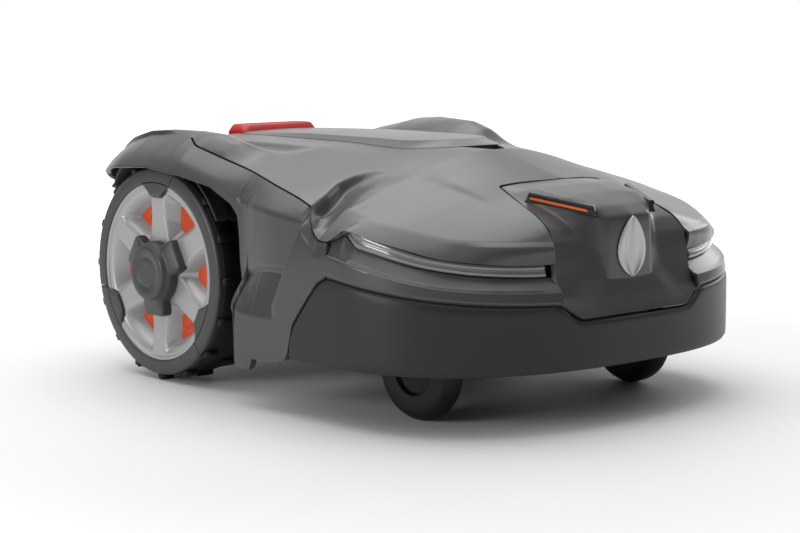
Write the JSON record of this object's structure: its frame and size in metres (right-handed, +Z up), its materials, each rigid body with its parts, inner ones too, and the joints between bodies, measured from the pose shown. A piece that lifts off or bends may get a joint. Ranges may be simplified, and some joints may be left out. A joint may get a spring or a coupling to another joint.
{
  "type": "robotic lawn mower",
  "caption": "Robotic lawn mower with a floating shell, hinged lid, stop button, geared drive wheels, swivel casters and a pivoting-blade cutting disc.",
  "frame": {"origin": "on the ground, under the middle of the outline", "axes": "+Z up; -Y is the front of the mower; +X is the mower's left side"},
  "size_m": [0.45, 0.58, 0.2485],
  "materials": {
    "shell_grey": "satin, lightly textured moulded plastic",
    "bumper_black": "fine matt texture",
    "lens": "satin light-grey light guide",
    "eye_black": "gloss black window",
    "reflector_orange": "gloss orange strip",
    "emblem_silver": "satin silver emblem",
    "stop_red": "satin red",
    "chassis_black": "structural black plastic",
    "frame_grey": "ribbed structural plastic",
    "steel": "turned steel",
    "boot_rubber": "matt rubber",
    "battery_blue": "shrink-wrapped cells in a holder",
    "board_green": "solder-masked board",
    "motor_grey": "painted motor can",
    "display_black": "gloss display window",
    "contact_brass": "bright contact plate",
    "key_green": "moulded key",
    "knob_orange": "soft-touch knob",
    "blade_steel": "ground steel",
    "tyre_black": "moulded tread rubber",
    "wheel_grey": "satin dark plastic",
    "wheel_silver": "silver painted plastic disc",
    "liner_orange": "orange disc behind the spokes"
  },
  "bodies": {
    "chassis": {"chassis_tray": "chassis_black", "chassis_deck": "chassis_black", "deck_gasket": "boot_rubber", "float_boots": "boot_rubber", "battery_pack": "battery_blue", "battery_hatch": "chassis_black", "main_board": "board_green", "drive_motor_left": "motor_grey", "drive_motor_right": "motor_grey", "control_panel": "wheel_grey", "display_window": "display_black", "charge_contacts": "contact_brass", "chassis_screws": "steel", "height_motor": "motor_grey", "guide_rods": "steel"},
    "floating_carrier": {"float_carrier": "frame_grey"},
    "cover": {"top_cover": "shell_grey", "body_shell": "shell_grey", "bumper": "bumper_black", "nose_cover": "shell_grey", "headlight_lenses": "lens", "eye_sensors": "eye_black", "eye_reflectors": "reflector_orange", "nose_emblem": "emblem_silver", "cover_frame": "frame_grey", "lid_pin": "steel"},
    "lid": {"lid": "shell_grey"},
    "stop_button": {"stop_button": "stop_red"},
    "power_button": {"power_button": "stop_red"},
    "start_button": {"start_button": "key_green"},
    "jog_knob": {"jog_knob": "knob_orange"},
    "cutting_head": {"motor_carrier": "frame_grey", "cutting_motor": "motor_grey"},
    "height_screw": {"height_screw": "steel"},
    "blade_disc": {"blade_disc": "wheel_grey", "blade_screws": "steel"},
    "blade_1": {"blade_1": "blade_steel"},
    "blade_2": {"blade_2": "blade_steel"},
    "blade_3": {"blade_3": "blade_steel"},
    "skid_plate": {"skid_plate": "chassis_black"},
    "drive_wheel_left": {"tyre_left": "tyre_black", "wheel_drum_left": "wheel_grey", "wheel_ring_left": "wheel_grey", "wheel_disc_left": "wheel_silver", "wheel_liner_left": "liner_orange", "hub_cap_left": "wheel_grey"},
    "caster_left": {"caster_fork_left": "chassis_black", "caster_axle_left": "steel"},
    "caster_wheel_left": {"caster_wheel_left": "tyre_black"},
    "drive_wheel_right": {"tyre_right": "tyre_black", "wheel_drum_right": "wheel_grey", "wheel_ring_right": "wheel_grey", "wheel_disc_right": "wheel_silver", "wheel_liner_right": "liner_orange", "hub_cap_right": "wheel_grey"},
    "caster_right": {"caster_fork_right": "chassis_black", "caster_axle_right": "steel"},
    "caster_wheel_right": {"caster_wheel_right": "tyre_black"}
  },
  "joints": [
    {"name": "cover_bump", "type": "slide", "parent": "chassis", "child": "floating_carrier", "axis": [0, 1, 0], "range_m": [-0.004, 0.004], "stiffness_N_per_m": 3000},
    {"name": "cover_lift", "type": "slide", "parent": "floating_carrier", "child": "cover", "axis": [0, 0, 1], "range_m": [0, 0.008]},
    {"name": "lid_hinge", "type": "hinge", "parent": "cover", "child": "lid", "pos_m": [0, 0.204, 0.232], "axis": [-1, 0, 0], "range_deg": [0, 75]},
    {"name": "stop_press", "type": "slide", "parent": "cover", "child": "stop_button", "axis": [0, 0, -1], "range_m": [0, 0.004], "stiffness_N_per_m": 900, "springref_m": -0.003},
    {"name": "power_press", "type": "slide", "parent": "chassis", "child": "power_button", "axis": [0, 0, -1], "range_m": [0, 0.002], "stiffness_N_per_m": 500, "springref_m": -0.001},
    {"name": "start_press", "type": "slide", "parent": "chassis", "child": "start_button", "axis": [0, 0, -1], "range_m": [0, 0.002], "stiffness_N_per_m": 500, "springref_m": -0.001},
    {"name": "jog_turn", "type": "hinge", "parent": "chassis", "child": "jog_knob", "pos_m": [0, -0.022, 0.214], "axis": [0, 0, 1], "continuous": true},
    {"name": "cutting_height", "type": "slide", "parent": "chassis", "child": "cutting_head", "axis": [0, 0, 1], "range_m": [0, 0.03]},
    {"name": "screw_turn", "type": "hinge", "parent": "chassis", "child": "height_screw", "pos_m": [0, 0.075, 0.1], "axis": [0, 0, 1], "range_deg": [0, 1080]},
    {"name": "disc_spin", "type": "hinge", "parent": "cutting_head", "child": "blade_disc", "pos_m": [0, 0.02, 0.026], "axis": [0, 0, 1], "continuous": true},
    {"name": "skid_spin", "type": "hinge", "parent": "blade_disc", "child": "skid_plate", "pos_m": [0, 0.02, 0.014], "axis": [0, 0, 1], "continuous": true},
    {"name": "blade_1_swing", "type": "hinge", "parent": "blade_disc", "child": "blade_1", "pos_m": [0, -0.06, 0.023], "axis": [0, 0, 1], "continuous": true},
    {"name": "blade_2_swing", "type": "hinge", "parent": "blade_disc", "child": "blade_2", "pos_m": [0.06928, 0.06, 0.023], "axis": [0, 0, 1], "continuous": true},
    {"name": "blade_3_swing", "type": "hinge", "parent": "blade_disc", "child": "blade_3", "pos_m": [-0.06928, 0.06, 0.023], "axis": [0, 0, 1], "continuous": true},
    {"name": "drive_spin_left", "type": "hinge", "parent": "chassis", "child": "drive_wheel_left", "pos_m": [0.18, 0.16, 0.108], "axis": [-1, 0, 0], "continuous": true},
    {"name": "caster_swivel_left", "type": "hinge", "parent": "chassis", "child": "caster_left", "pos_m": [0.14, -0.171, 0.11], "axis": [0, 0, 1], "continuous": true},
    {"name": "caster_spin_left", "type": "hinge", "parent": "caster_left", "child": "caster_wheel_left", "pos_m": [0.14, -0.156, 0.0464], "axis": [-1, 0, 0], "continuous": true},
    {"name": "drive_spin_right", "type": "hinge", "parent": "chassis", "child": "drive_wheel_right", "pos_m": [-0.18, 0.16, 0.108], "axis": [-1, 0, 0], "continuous": true},
    {"name": "caster_swivel_right", "type": "hinge", "parent": "chassis", "child": "caster_right", "pos_m": [-0.14, -0.171, 0.11], "axis": [0, 0, 1], "continuous": true},
    {"name": "caster_spin_right", "type": "hinge", "parent": "caster_right", "child": "caster_wheel_right", "pos_m": [-0.14, -0.156, 0.0464], "axis": [-1, 0, 0], "continuous": true}
  ],
  "couplings": [
    {"joint": "screw_turn", "follows": "cutting_height", "rad_per_m": 628.32}
  ]
}
